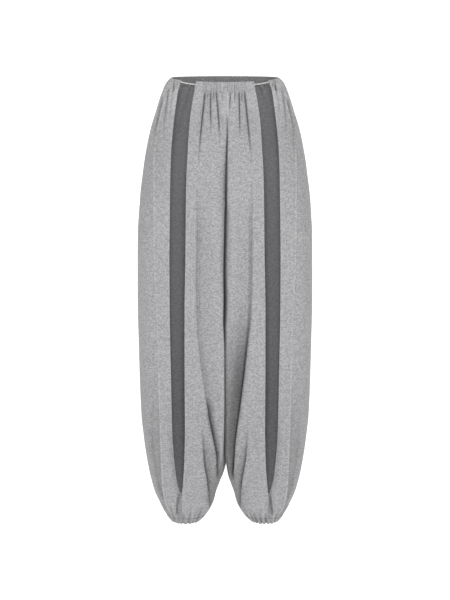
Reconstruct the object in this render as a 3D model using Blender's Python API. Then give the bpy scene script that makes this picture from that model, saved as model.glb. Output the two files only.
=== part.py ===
"""Balloon-leg running pants with a long open slit down the front of each leg, shown as worn.

Metres, +Z up, front towards -Y, origin at the centre of the waist opening. The wearer's right leg is at -X.
Each leg is a stack of horizontal sections (SECTIONS). A panel is the part of every section between two seams
(SEAMS), pushed in where the cloth is gathered or folded, and made into a closed wall of cloth.
"""
import bmesh
import bpy
import numpy as np

MM = 0.001
CLOTH = 2.0 * MM          # wall of the jersey panels
CASING = 3.0 * MM         # wall of the elastic casings at waist and ankles
CASING_PROUD = 0.6 * MM   # how far a casing stands out of the panels beside it
SEAM_GAP = 0.3 * MM       # left between two pieces that are sewn together
WAIST_TOP = 2.0           # mm below the origin, at the side
WAIST_BAND = 20.5         # height of the waist casing in mm
ANKLE_TOP = 985.3         # mm below the origin
ANKLE_BOTTOM = 1000.5
FRONT_DROP = 11.5         # the waist edge is this much lower at the front than at the side, in mm
BACK_RISE = 5.5           # and this much higher at the back
DROP_FADES_BY = 165.0     # mm below the origin, where the slope of the waist edge has gone
ELASTIC = 3.6 * MM        # the bare elastic across the top of each slit
ELASTIC_DROPS = 3.5 * MM  # it slopes down to the front casing
RIGHT, LEFT = -1, 1       # the wearer's sides, as the sign of x

# Half sections, in mm: side_x is the outline, fork_x the inner end of the whole oval (below zero it is cut off at
# the centre plane, above the crotch), front_y and back_y its half depths, square its superellipse power, and inner
# the power of its inner front corner, which is squarer where the two legs lie against each other.
SECTION_COLUMNS = "down side_x fork_x front_y back_y square inner".split()
SECTIONS = (
    (0, 117.5, -117.5, 85, 95, 2.10, 2.10),
    (9, 127.0, -127.0, 88, 98, 2.10, 2.10),
    (22, 135.5, -134.5, 92, 102, 2.12, 2.12),
    (40, 142.7, -138.0, 97, 108, 2.15, 2.15),
    (60, 149.5, -136.0, 102, 113, 2.20, 2.20),
    (80, 155.5, -128.0, 106, 117, 2.27, 2.27),
    (100, 162.0, -114.0, 109, 120, 2.33, 2.33),
    (125, 168.5, -90.0, 112, 123, 2.40, 2.40),
    (155, 174.5, -62.0, 114, 126, 2.50, 3.00),
    (190, 180.5, -38.0, 115, 127, 2.60, 4.00),
    (225, 185.0, -22.0, 115, 127, 2.70, 7.00),
    (252, 188.5, -11.5, 115, 126, 2.75, 10.00),
    (272, 190.5, -5.0, 115, 125, 2.80, 12.00),
    (285, 191.5, -1.3, 114.7, 124, 2.80, 12.00),
    (292, 192.0, 0.3, 114.5, 123.5, 2.80, 12.00),
    (310, 193.2, 0.9, 114.0, 122.6, 2.84, 12.00),
    (340, 195.2, 1.0, 113, 121, 2.90, 12.00),
    (400, 195.6, 1.0, 111, 117, 3.00, 12.00),
    (500, 195.8, 1.0, 110, 112, 3.00, 12.00),
    (600, 193.6, 1.0, 110, 112, 3.00, 12.00),
    (700, 191.0, 1.0, 109, 111, 2.90, 12.00),
    (760, 188.4, 1.0, 107, 109, 2.80, 9.00),
    (800, 184.2, 1.0, 104, 106, 2.70, 7.00),
    (840, 179.2, 1.2, 98, 100, 2.60, 5.00),
    (870, 174.2, 2.0, 92, 94, 2.50, 3.60),
    (890, 170.5, 4.5, 87, 90, 2.40, 2.80),
    (912, 165.2, 12.0, 80, 84, 2.35, 2.35),
    (934, 158.8, 20.0, 72, 77, 2.30, 2.30),
    (957, 148.3, 26.0, 62, 67, 2.25, 2.25),
    (972, 141.5, 33.0, 56, 61, 2.20, 2.20),
    (985, 133.5, 42.0, 50, 55, 2.20, 2.20),
    (1001, 122.0, 57.0, 43, 47, 2.20, 2.20),
)

# Where the seams and the edges of the slit run on the front, in mm from the centre plane.
SEAM_COLUMNS = "down slit_front slit_side side_seam".split()
SEAMS = (
    (0, 62.5, 95.5, 110.0),
    (16, 64.1, 98.6, 118.0),
    (33, 66.5, 103.2, 124.5),
    (61, 71.6, 107.2, 133.0),
    (100, 77.0, 112.2, 143.5),
    (162, 81.1, 117.4, 154.5),
    (227, 84.5, 119.5, 155.6),
    (315, 86.0, 120.6, 155.7),
    (402, 87.0, 121.7, 154.8),
    (516, 89.0, 121.3, 150.0),
    (645, 89.2, 119.2, 146.6),
    (778, 88.7, 116.6, 143.0),
    (845, 90.3, 112.8, 141.3),
    (890, 92.8, 108.3, 139.8),
    (912, 94.7, 103.6, 138.8),
    (926, 96.1, 98.9, 137.6),
    (936, 96.8, 96.8, 136.3),
    (957, 97.2, 97.2, 132.0),
    (985, 97.0, 97.0, 119.0),
    (1001, 94.0, 94.0, 110.0),
)
ROWS = (
    23, 34, 50, 70, 92, 120, 155, 195, 230, 255, 273, 285, 292, 335, 410, 490, 570, 650, 712, 765, 815, 855,
    890, 912, 926, 945, 962, 975, 985,
)

# Folds of the front and side panels: three points (x, down) in mm, how deep the trough is, its half width, and how
# far the cloth on its inner side lies back. Those that start at 25 mm come out of the waist casing.
FOLD_COLUMNS = "leg x1 down1 x2 down2 x3 down3 deep wide back".split()
FOLDS = (
    (RIGHT, 43, 25, 55, 96, 58, 190, 5.0, 4.0, 0),
    (RIGHT, 31, 25, 30, 78, 30, 130, 4.0, 3.2, 0),
    (RIGHT, 19, 25, 15, 108, 12, 165, 4.0, 3.4, 0),
    (RIGHT, 58, 160, 57, 560, 16, 890, 5.0, 8.0, 7),
    (RIGHT, 30, 700, 22, 810, 13, 905, 4.5, 4.0, 5),
    (RIGHT, 50, 815, 37, 905, 30, 975, 6.5, 4.0, 5),
    (RIGHT, 110, 20, 115, 60, 118, 110, 5.0, 3.6, 0),
    (RIGHT, 126, 25, 130, 70, 136, 120, 3.5, 4.0, 0),
    (LEFT, 43, 25, 53, 93, 58, 195, 5.0, 4.0, 0),
    (LEFT, 32, 25, 32, 78, 31, 135, 4.0, 3.2, 0),
    (LEFT, 21, 25, 20, 60, 19, 95, 4.0, 3.0, 0),
    (LEFT, 9, 35, 8, 80, 8, 120, 3.0, 2.6, 0),
    (LEFT, 57, 190, 52, 600, 17, 890, 7.0, 7.0, 9),
    (LEFT, 37, 700, 26, 810, 16, 900, 5.5, 4.0, 8),
    (LEFT, 48, 815, 39, 895, 32, 975, 6.5, 4.0, 5),
    (LEFT, 109, 20, 114, 60, 117, 105, 5.0, 3.6, 0),
    (LEFT, 125, 25, 131, 75, 138, 125, 3.5, 4.0, 0),
)
CENTRE_FADES = (100, 150, 230, 286)   # the valley between the legs: begins, full, full, ends
CENTRE_DEEP = 9.0
CENTRE_WIDE = 6.0

# The line between the legs as it wanders across the centre plane, in mm, and how far the legs' inner faces bow.
CENTRE_COLUMNS = "down over bow".split()
CENTRE_LINE = (
    (60, 0.0, 0),
    (120, 5.0, 0),
    (200, 2.8, 0),
    (250, 0.5, 0),
    (292, -1.5, 5),
    (330, -2.5, 6),
    (450, -2.7, 6),
    (600, -1.5, 6),
    (760, 0.5, 5),
    (860, 0.6, 2),
    (900, 0.0, 0),
)
CENTRE_REACH = 34.0       # the cloth this near the centre plane, in mm, goes with it

# Long soft troughs of the back panels: share of the panel from side seam to centre back at the top and bottom.
BACK_FOLD_COLUMNS = "leg share1 down1 share2 down2 deep wide".split()
BACK_FOLDS = (
    (RIGHT, 0.30, 330, 0.36, 850, 5.0, 0.045),
    (RIGHT, 0.52, 210, 0.66, 560, 6.0, 0.040),
    (RIGHT, 0.56, 560, 0.47, 960, 6.5, 0.040),
    (LEFT, 0.28, 380, 0.33, 900, 5.0, 0.045),
    (LEFT, 0.50, 200, 0.63, 520, 6.5, 0.040),
    (LEFT, 0.58, 600, 0.49, 955, 6.0, 0.040),
)

# Gathers: troughs in each panel between its two seams, at the waist and at the ankle.
GATHER_COLUMNS = "waist_front waist_side waist_back ankle_front ankle_side ankle_back".split()
GATHERS = dict(zip(GATHER_COLUMNS, (0, 0, 8, 5, 2, 9)))
WAIST_GATHER_DEEP = 6.0
WAIST_GATHER_LONG = 120.0
ANKLE_GATHER_DEEP = 3.4
ANKLE_GATHER_LONG = 34.0
RIPPLE_DEEP = 1.1
ANKLE_RIPPLES = 1.5       # the ankle casings' ripples are this much deeper
RIPPLES_FRONT_BAND = 14
RIPPLES_BACK_BAND = 34
COLUMNS = {"front": 20, "side": 5, "back": 32}
TURN_AT = 0.15            # a leg turns inwards this share of its width from its inner side
TURN_SHARE = {"front": 0.4, "back": 0.8125}   # the share of a panel's columns before the turn
STEPS_A_RIPPLE = 4

COLOURS = {
    "jersey": (0.43, 0.43, 0.44),
    "casing": (0.41, 0.41, 0.42),
    "elastic": (0.72, 0.72, 0.71),
}


def table(rows, names):
    """The columns of a table as arrays, by name."""
    return {name: np.array([row[i] for row in rows], float) for i, name in enumerate(names)}


SECTION = table(SECTIONS, SECTION_COLUMNS)
SEAM = table(SEAMS, SEAM_COLUMNS)
CENTRE = table(CENTRE_LINE, CENTRE_COLUMNS)


def ease(t):
    """0 below 0, 1 above 1, and an even S between."""
    t = np.clip(t, 0.0, 1.0)
    return t * t * (3 - 2 * t)


def through(columns, name, down):
    """A smooth line through one column of a table, without overshoot, read at each value of down."""
    knots = columns["down"]
    values = columns[name]
    width = np.diff(knots)
    slope = np.diff(values) / width
    product = slope[:-1] * slope[1:]
    total = slope[:-1] + slope[1:]
    middle = np.where(product > 0, 2 * product / np.where(product > 0, total, 1), 0)
    ends = np.concatenate([slope[:1], middle, slope[-1:]])
    i = np.clip(np.searchsorted(knots, down) - 1, 0, len(width) - 1)
    t = np.clip((down - knots[i]) / width[i], 0, 1)
    rest = 1 - t
    value = (1 + 2 * t) * rest**2 * values[i] + t**2 * (3 - 2 * t) * values[i + 1]
    return value + width[i] * (t * rest**2 * ends[i] - t**2 * rest * ends[i + 1])


def slope_left(down):
    """How much of the waist edge's slope is left at this level."""
    return 1 - ease((down - WAIST_TOP - WAIST_BAND) / (DROP_FADES_BY - WAIST_TOP - WAIST_BAND))


def half_section(down):
    """Points (x, y) in metres from the centre front or inseam round the side to the centre back, and their length."""
    outline = through(SECTION, "side_x", down)
    fork = through(SECTION, "fork_x", down)
    angle = np.linspace(-np.pi, np.pi, 2881)
    corner = (angle < 0) & (np.cos(angle) < 0)
    power = 2 / np.where(corner, through(SECTION, "inner", down), through(SECTION, "square", down))
    middle = (outline + fork) / 2
    radius = (outline - fork) / 2
    x = middle + radius * np.sign(np.cos(angle)) * np.abs(np.cos(angle)) ** power
    deep = np.where(angle < 0, through(SECTION, "front_y", down), through(SECTION, "back_y", down))
    y = deep * np.sign(np.sin(angle)) * np.abs(np.sin(angle)) ** power
    if fork < 0:
        keep = x > SEAM_GAP / 2 / MM
        x = x[keep]
        y = y[keep]
        x[[0, -1]] = SEAM_GAP / 2 / MM
    points = np.column_stack([x, y]) * MM
    length = np.concatenate([[0], np.cumsum(np.linalg.norm(np.diff(points, axis=0), axis=1))])
    return points, length


def length_at(points, length, x):
    """The length along a half section at which its front passes x."""
    front = points[:, 1] <= 0
    return np.interp(x * MM, points[front, 0], length[front])


def panel_ends(panel, down, points, length):
    """Where a panel begins and ends along its half section."""
    level = down + FRONT_DROP * slope_left(down)
    stops = {name: length_at(points, length, through(SEAM, name, level)) for name in SEAM_COLUMNS[1:]}
    half = SEAM_GAP / 2
    closed = half if through(SECTION, "fork_x", down) > 0 else 0.0
    ends = {
        "front": (closed, stops["slit_front"] - half),
        "side": (stops["slit_side"] + half, stops["side_seam"] - half),
        "back": (stops["side_seam"] + half, length[-1] - closed),
    }
    return ends[panel]


def column_places(panel, down, points, length):
    """The lengths along a half section of a panel's columns. The turn keeps its column at every level."""
    start, end = panel_ends(panel, down, points, length)
    share = np.linspace(0, 1, COLUMNS[panel] + 1)
    if panel == "side":
        return start + share * (end - start)
    inner = max(through(SECTION, "fork_x", down), 0)
    x = inner + TURN_AT * (through(SECTION, "side_x", down) - inner)
    turn = length_at(points, length, x)
    if panel == "back":
        behind = points[:, 1] >= 0
        turn = np.interp(-x * MM, -points[behind, 0], length[behind])
    return np.interp(share, (0, TURN_SHARE[panel], 1), (start, turn, end))


def places(points, length, where):
    """Points and outward directions at the given lengths along a half section."""
    x = np.interp(where, length, points[:, 0])
    y = np.interp(where, length, points[:, 1])
    step = 0.5 * MM
    ahead = np.clip(where + step, 0, length[-1])
    behind = np.clip(where - step, 0, length[-1])
    along_x = np.interp(ahead, length, points[:, 0]) - np.interp(behind, length, points[:, 0])
    along_y = np.interp(ahead, length, points[:, 1]) - np.interp(behind, length, points[:, 1])
    size = np.hypot(along_x, along_y)
    return np.column_stack([x, y]), np.column_stack([along_y / size, -along_x / size])


def uneven(number, seed):
    """An even spread of values from 0 to 1, the same each time."""
    return np.mod(np.sin(number * 12.9898 + seed * 78.233) * 43758.5453, 1.0)


def front_folds(leg, x, down):
    """How far the front cloth lies back from its section, in mm, at x mm from the centre plane."""
    level = down + FRONT_DROP * slope_left(down)
    total = np.zeros_like(x)
    for row in FOLDS:
        fold = dict(zip(FOLD_COLUMNS, row))
        if fold["leg"] != leg:
            continue
        tops = (fold["down1"], fold["down2"], fold["down3"])
        centre = np.interp(level, tops, (fold["x1"], fold["x2"], fold["x3"]))
        run = fold["down3"] - fold["down1"]
        starts = 1.0 if fold["down1"] < 40 else ease((level - fold["down1"]) / (0.3 * run))
        strength = starts * ease((fold["down3"] - level) / (0.65 * run))
        away = (x - centre) / fold["wide"]
        total += strength * fold["deep"] * np.exp(-0.5 * away**2)
        total += strength * fold["back"] * ease(0.5 - away / 4)
    begins, full, still, ends = CENTRE_FADES
    strength = ease((level - begins) / (full - begins)) * ease((ends - level) / (ends - still))
    return total + strength * CENTRE_DEEP * np.exp(-0.5 * (x / CENTRE_WIDE) ** 2)


def back_folds(leg, share, down):
    """The long troughs of a back panel, in mm, by share of the panel's width."""
    total = np.zeros_like(share)
    for row in BACK_FOLDS:
        fold = dict(zip(BACK_FOLD_COLUMNS, row))
        if fold["leg"] != leg:
            continue
        run = fold["down2"] - fold["down1"]
        centre = np.interp(down, (fold["down1"], fold["down2"]), (fold["share1"], fold["share2"]))
        strength = ease((down - fold["down1"]) / (0.4 * run)) * ease((fold["down2"] - down) / (0.4 * run))
        total += strength * fold["deep"] * np.exp(-0.5 * ((share - centre) / fold["wide"]) ** 2)
    return total


def gathers(panel, leg, share, down):
    """The troughs gathered into the waist and ankle casings, in mm. They are nothing at the panel's seams."""
    total = np.zeros_like(share)
    for end, deep, long, away in (
        ("waist", WAIST_GATHER_DEEP, WAIST_GATHER_LONG, down - WAIST_TOP - WAIST_BAND),
        ("ankle", ANKLE_GATHER_DEEP, ANKLE_GATHER_LONG, ANKLE_TOP - down),
    ):
        count = GATHERS[f"{end}_{panel}"]
        place = np.clip(share, 0, 0.999999) * count
        number = np.floor(place)
        seed = leg + 3 * len(panel) + len(end)
        reach = long * (0.55 + 0.9 * uneven(number, seed))
        height = deep * (0.65 + 0.35 * uneven(number, seed + 5))
        tight = 1.0 if end == "waist" else 0.5 + 0.5 * ease(away / (0.3 * long))
        total += tight * height * np.sin(np.pi * (place - number)) ** 2 * (1 - ease(away / reach))
    return total


def panel_rows(panel, leg):
    """The outer and inner points of a panel: two arrays of rows by columns by 3."""
    share = np.linspace(0, 1, COLUMNS[panel] + 1)
    outer = []
    inner = []
    for down in ROWS:
        points, length = half_section(down)
        at, out = places(points, length, column_places(panel, down, points, length))
        pushed = -out * (gathers(panel, leg, share, down)[:, None] * MM)
        if panel == "back":
            pushed -= out * (back_folds(leg, share, down)[:, None] * MM)
        facing = np.clip(-out[:, 1], 0, 1) ** 1.5
        pushed[:, 1] += facing * front_folds(leg, at[:, 0] / MM, down) * MM
        pushed[:, 0] += leg * wander(at[:, 0], at[:, 1], down)
        level = -down * MM + waist_slope(at[:, 1], down)
        outer.append(np.column_stack([at + pushed, level]))
        inner.append(np.column_stack([at + pushed - out * CLOTH, level]))
    return mirrored(np.array(outer), leg), mirrored(np.array(inner), leg)


def wander(x, y, down):
    """How far the cloth beside the centre plane moves to the +X side, in metres. Both legs move together."""
    front = ease(0.5 - y / (60 * MM))
    over = through(CENTRE, "over", down) * front
    bow = through(CENTRE, "bow", down) * np.cos(np.pi * y / (70 * MM))
    return (over + bow) * ease((CENTRE_REACH - x / MM) / CENTRE_REACH) * MM


def waist_slope(y, down):
    """The rise or drop of the waist edge towards back and front, in metres."""
    deep = np.where(y > 0, through(SECTION, "back_y", down), through(SECTION, "front_y", down)) * MM
    full = np.where(y > 0, BACK_RISE, FRONT_DROP) * MM
    return full * np.clip(y / deep, -1, 1) * slope_left(down)


def mirrored(points, leg):
    """Points of the half at +X, put on the given side."""
    return points * np.array([leg, 1, 1])


def add_solid(name, vertices, faces, colour):
    """One closed body with outward faces and its own material."""
    mesh = bpy.data.meshes.new(name)
    mesh.from_pydata([tuple(v) for v in vertices], [], faces)
    work = bmesh.new()
    work.from_mesh(mesh)
    bmesh.ops.recalc_face_normals(work, faces=work.faces)
    bmesh.ops.triangulate(work, faces=work.faces, quad_method="SHORT_EDGE")
    work.to_mesh(mesh)
    work.free()
    mesh.shade_smooth()
    material = bpy.data.materials.new(f"{name}_cloth")
    material.use_nodes = True
    shader = material.node_tree.nodes["Principled BSDF"]
    shader.inputs["Base Color"].default_value = (*COLOURS[colour], 1)
    shader.inputs["Roughness"].default_value = 0.9
    mesh.materials.append(material)
    body = bpy.data.objects.new(name, mesh)
    bpy.context.scene.collection.objects.link(body)
    return body


def sheet_solid(name, outer, inner, colour):
    """A closed wall from its outer and inner points, joined round the rim."""
    rows, columns = outer.shape[:2]
    count = rows * columns
    faces = []
    for r in range(rows - 1):
        for c in range(columns - 1):
            a = r * columns + c
            faces.append((a, a + 1, a + columns + 1, a + columns))
            faces.append((count + a, count + a + columns, count + a + columns + 1, count + a + 1))
    top = list(range(columns))
    right = [r * columns + columns - 1 for r in range(rows)]
    bottom = [(rows - 1) * columns + c for c in reversed(range(columns))]
    left = [r * columns for r in reversed(range(rows))]
    loop = top[:-1] + right[:-1] + bottom[:-1] + left[:-1]
    for a, b in zip(loop, loop[1:] + loop[:1]):
        faces.append((a, b, count + b, count + a))
    vertices = np.concatenate([outer.reshape(-1, 3), inner.reshape(-1, 3)])
    return add_solid(name, vertices, faces, colour)


def tube_solid(name, strips, closed, colour):
    """A casing from strips of points that run along it, one for each corner of its cut."""
    around = len(strips)
    along = len(strips[0])
    faces = []
    for c in range(along if closed else along - 1):
        after = (c + 1) % along
        for k in range(around):
            other = (k + 1) % around
            faces.append((k * along + c, k * along + after, other * along + after, other * along + c))
    if not closed:
        faces.append(tuple(k * along for k in range(around)))
        faces.append(tuple(k * along + along - 1 for k in reversed(range(around))))
    return add_solid(name, np.concatenate(strips), faces, colour)


def casing_strip(parts, down, ripples, proud):
    """One line of points along a casing at this level. parts gives its stretch of each half section."""
    points, length = half_section(down)
    chunks = []
    for side, start, end, steps, first in parts(points, length, down):
        share = np.linspace(0, 1, steps + 1)
        at, out = places(points, length, start + share * (end - start))
        trough = RIPPLE_DEEP * MM * np.sin(np.pi * (first + share * steps) / STEPS_A_RIPPLE) ** 2
        at = at + out * (proud - trough * ripples)[:, None]
        level = -down * MM + waist_slope(at[:, 1], down)
        strip = mirrored(np.column_stack([at, level]), side)
        chunks.append(strip)
    return chunks


def waist_levels():
    """The three levels of the waist casing and how far each stands proud."""
    middle = WAIST_TOP + WAIST_BAND / 2
    bottom = WAIST_TOP + WAIST_BAND - SEAM_GAP / MM
    return ((WAIST_TOP, 0.0), (middle, CASING_PROUD), (bottom, 0.0))


def ankle_levels():
    """The same for the ankle casings."""
    middle = (ANKLE_TOP + ANKLE_BOTTOM) / 2
    return ((ANKLE_TOP, 0.0), (middle, CASING_PROUD), (ANKLE_BOTTOM, 0.0))


def front_band_strip(down, proud):
    """From slit to slit across the front."""
    def parts(points, length, down):
        level = down + FRONT_DROP
        end = length_at(points, length, through(SEAM, "slit_front", level)) - SEAM_GAP / 2
        steps = RIPPLES_FRONT_BAND * STEPS_A_RIPPLE // 2
        return ((RIGHT, end, 0, steps, 0), (LEFT, 0, end, steps, steps))
    right, left = casing_strip(parts, down, 1.0, proud)
    return np.concatenate([right[:-1], (right[-1:] + left[:1]) / 2, left[1:]])


def back_band_strip(down, proud):
    """From slit to slit round the sides and back."""
    def parts(points, length, down):
        level = down + FRONT_DROP
        start = length_at(points, length, through(SEAM, "slit_side", level)) + SEAM_GAP / 2
        steps = RIPPLES_BACK_BAND * STEPS_A_RIPPLE // 2
        return ((RIGHT, start, length[-1], steps, 0), (LEFT, length[-1], start, steps, steps))
    right, left = casing_strip(parts, down, 1.0, proud)
    return np.concatenate([right[:-1], (right[-1:] + left[:1]) / 2, left[1:]])


def ankle_strip(down, proud, leg):
    """Once round an ankle, from inseam to inseam, with a ripple under each gather of the panels."""
    def parts(points, length, down):
        stops = [0.0]
        for panel in ("front", "side"):
            stops.append(panel_ends(panel, down, points, length)[1] + SEAM_GAP / 2)
        stops.append(length[-1])
        counts = [GATHERS[f"ankle_{panel}"] * STEPS_A_RIPPLE for panel in ("front", "side", "back")]
        return [(leg, start, end, count, 0) for start, end, count in zip(stops, stops[1:], counts)]
    return np.concatenate([chunk[:-1] for chunk in casing_strip(parts, down, ANKLE_RIPPLES, proud)])


def casing_strips(strip, levels):
    """The outer strips from top to bottom, then the inner ones back up."""
    outer = [strip(down, proud) for down, proud in levels]
    inner = [strip(down, -CASING - proud / 2) for down, proud in reversed(levels)]
    return outer + inner


def build_waistbands():
    tube_solid("waistband_front", casing_strips(front_band_strip, waist_levels()), False, "casing")
    tube_solid("waistband_back", casing_strips(back_band_strip, waist_levels()), False, "casing")


def build_ankle_band(leg, side):
    strips = casing_strips(lambda down, proud: ankle_strip(down, proud, leg), ankle_levels())
    tube_solid(f"ankle_band_{side}", strips, True, "casing")


def build_panel(panel, leg, side):
    outer, inner = panel_rows(panel, leg)
    sheet_solid(f"{panel}_panel_{side}", outer, inner, "jersey")


def build_elastic(leg, side):
    """The bare elastic, from the end of the side casing to the end of the front casing."""
    down = WAIST_TOP + 4.0
    points, length = half_section(down)
    level = down + FRONT_DROP
    ends = [length_at(points, length, through(SEAM, name, level)) for name in ("slit_side", "slit_front")]
    where = np.array(ends) + np.array([-1, 1]) * SEAM_GAP / 2
    at, out = places(points, length, where)
    at = at - out * (CASING / 2)
    height = -down * MM + waist_slope(at[:, 1], down) - np.array([0, ELASTIC_DROPS])
    ends = mirrored(np.column_stack([at, height]), leg)
    axis = ends[1] - ends[0]
    axis /= np.linalg.norm(axis)
    trim = SEAM_GAP + 0.4 * MM
    share = np.linspace(0, 1, 6)[:, None]
    middle = ends[0] + axis * trim + share * (ends[1] - ends[0] - 2 * trim * axis)
    up = np.array([0, 0, 1.0])
    across = np.cross(axis, up)
    strips = []
    for angle in np.arange(10) * (2 * np.pi / 10):
        offset = ELASTIC / 2 * (np.cos(angle) * across * 0.7 + np.sin(angle) * up)
        strips.append(middle + offset)
    tube_solid(f"elastic_{side}", strips, False, "elastic")


def build():
    for old in list(bpy.data.objects):
        bpy.data.objects.remove(old, do_unlink=True)
    build_waistbands()
    for leg, side in ((RIGHT, "right"), (LEFT, "left")):
        for panel in ("front", "side", "back"):
            build_panel(panel, leg, side)
        build_ankle_band(leg, side)
        build_elastic(leg, side)


build()
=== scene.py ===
# %% [markdown]
# # Balloon-leg running pants
# These are loose sweatpants in a light grey marl jersey. Elastic gathers the cloth at the waist and the ankles, and
# each leg has one long open slit down its front, which shows the darker reverse of the cloth behind it. The packed
# solids are the fixed frame: every piece below takes its place from them, and stands in for one of them.

# %% The frame
import functools
import math

import bpy
import numpy as np
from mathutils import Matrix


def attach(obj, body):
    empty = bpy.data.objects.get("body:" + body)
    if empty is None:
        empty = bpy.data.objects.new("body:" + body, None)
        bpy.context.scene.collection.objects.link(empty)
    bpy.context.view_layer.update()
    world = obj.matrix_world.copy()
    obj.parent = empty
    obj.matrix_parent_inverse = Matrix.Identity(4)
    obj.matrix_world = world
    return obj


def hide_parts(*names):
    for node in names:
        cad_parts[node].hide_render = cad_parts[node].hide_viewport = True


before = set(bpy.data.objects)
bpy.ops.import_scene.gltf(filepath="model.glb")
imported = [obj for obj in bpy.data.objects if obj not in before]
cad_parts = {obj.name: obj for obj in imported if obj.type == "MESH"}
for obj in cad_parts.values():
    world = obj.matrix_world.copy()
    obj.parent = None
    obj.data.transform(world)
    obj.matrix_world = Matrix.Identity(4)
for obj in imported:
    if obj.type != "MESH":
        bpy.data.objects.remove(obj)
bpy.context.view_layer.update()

print("solids", sorted(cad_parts))

# %% [markdown]
# ## Helpers
# Everything is in metres, and the tailor's tables are in millimetres. Colours are picked as sRGB hex values, as on a
# screen, and turned to the linear values that a shader works in. Small helpers add objects, materials and shader nodes.

# %% Units, colours and nodes
MM = 0.001


def linear(code):
    """An sRGB hex colour as linear RGBA."""
    parts = [int(code[i : i + 2], 16) / 255 for i in (0, 2, 4)]
    return (*[c / 12.92 if c <= 0.04045 else ((c + 0.055) / 1.055) ** 2.4 for c in parts], 1.0)


def add_object(name, data):
    """A new object in the scene."""
    made = bpy.data.objects.new(name, data)
    bpy.context.scene.collection.objects.link(made)
    return made


def new_material(name, finish):
    """A material, and its shader with the inputs that finish names."""
    material = bpy.data.materials.new(name)
    material.use_nodes = True
    shader = material.node_tree.nodes["Principled BSDF"]
    for entry, value in finish.items():
        shader.inputs[entry].default_value = value
    return material, shader


def node(tree, kind, links=(), **settings):
    """Adds a node. links are (input, from socket); a setting with a known input's name sets that input."""
    made = tree.nodes.new(kind)
    for name, value in settings.items():
        socket = made.inputs.get(name.replace("_", " ").title())
        if hasattr(made, name):
            setattr(made, name, value)
        elif socket is not None:
            socket.default_value = value
        else:
            raise KeyError(name)
    for target, source in links:
        tree.links.new(source, made.inputs[target])
    return made


print("mid grey", linear("808080")[:3])

# %% [markdown]
# ## Camera and light
# The photo is taken straight on, from about hip height and far away with a long lens, so the two legs are alike and
# the far edge of the waist shows just above the near one. A camera 4.5 m away, 5 degrees up, with an 80 mm lens on a
# 24 mm high frame gives that view. The light is a white studio: an even glow from all round, and one soft lamp, tall
# and narrow, above the camera, which also reaches in through the slits to the back of the legs.

# %% The camera
AIM = (0.0, 0.0, -0.5)
DISTANCE = 4.5
RISE = math.radians(5.0)

camera_data = bpy.data.cameras.new("studio_camera")
camera = add_object("studio_camera", camera_data)
camera.location = (0.0, -DISTANCE * math.cos(RISE), AIM[2] + DISTANCE * math.sin(RISE))
camera.rotation_euler = (math.pi / 2 - RISE, 0.0, 0.0)
camera_data.sensor_fit = "VERTICAL"
camera_data.sensor_height = 24.0
camera_data.lens = 80.0
bpy.context.scene.camera = camera
print("camera at", tuple(round(v, 3) for v in camera.location))

# %% The light
GLOW = 0.60
LAMP_WATTS = 55.0
LAMP_WIDE = 0.30
LAMP_TALL = 1.20
LAMP_AT = (0.0, -3.5, 0.35)
LAMP_LOOKS_DOWN = 14      # degrees

world = bpy.data.worlds.new("studio_glow")
world.use_nodes = True
background = world.node_tree.nodes["Background"]
background.inputs["Color"].default_value = (1, 1, 1, 1)
background.inputs["Strength"].default_value = GLOW
bpy.context.scene.world = world

lamp_data = bpy.data.lights.new("soft_lamp", "AREA")
lamp_data.shape = "RECTANGLE"
lamp_data.size = LAMP_WIDE
lamp_data.size_y = LAMP_TALL
lamp_data.energy = LAMP_WATTS
lamp = add_object("soft_lamp", lamp_data)
lamp.location = LAMP_AT
lamp.rotation_euler = (math.radians(90 - LAMP_LOOKS_DOWN), 0.0, 0.0)
bpy.context.scene.view_settings.view_transform = "Standard"
bpy.context.scene.view_settings.look = "None"
print("lamp", LAMP_WATTS, "W,", LAMP_WIDE, "by", LAMP_TALL, "m")

# %% [markdown]
# ## Floor
# A plain white studio floor that curves up into the wall behind. The pants hang well clear of it.

# %% The floor
FLOOR_DOWN = 1250 * MM
FLOOR_HALF = 9.0
SWEEP_STARTS = 4.0
SWEEP_RADIUS = 3.0
WALL = (0.93, 0.93, 0.93, 1)
WALL_FINISH = {"Base Color": WALL, "Roughness": 1.0, "Emission Color": (1, 1, 1, 1), "Emission Strength": 0.5}


def studio_floor():
    """A sheet that runs back from under the camera and sweeps up behind."""
    start, radius = SWEEP_STARTS, SWEEP_RADIUS
    angles = np.linspace(0, math.pi / 2, 24)
    turn = [(start + radius * math.sin(a), radius - radius * math.cos(a)) for a in angles]
    line = [(-FLOOR_HALF, 0.0), *turn, (start + radius, FLOOR_HALF)]
    points = [(x, y, h - FLOOR_DOWN) for y, h in line for x in (-FLOOR_HALF, FLOOR_HALF)]
    faces = [(2 * i, 2 * i + 1, 2 * i + 3, 2 * i + 2) for i in range(len(line) - 1)]
    mesh = bpy.data.meshes.new("studio_floor")
    mesh.from_pydata(points, [], faces)
    mesh.shade_smooth()
    mesh.materials.append(new_material("matte_white_wall_paint", WALL_FINISH)[0])
    return add_object("studio_floor", mesh)


studio_floor()
print("floor", FLOOR_DOWN, "m below the waist")

# %% [markdown]
# ## The body of the pants as sections
# A tailor thinks of a leg as a tube that changes from level to level. Each row below is one level, in mm: how far it
# is below the waist, where its outline is, where its inner end is (below zero, the two legs are still one), how deep
# it is to the front and to the back, how square it is, and how square its inner front corner is. The panels are cut
# out of this tube along the seams. The values are those of the solids, apart from three that are drawn closer to the
# photo here: the line between the legs, how sharply their inner corners turn below the thigh, and the slit's tip.
# The solids stand 0.3 mm apart at their seams, and here the centre seams are closed.

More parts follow.
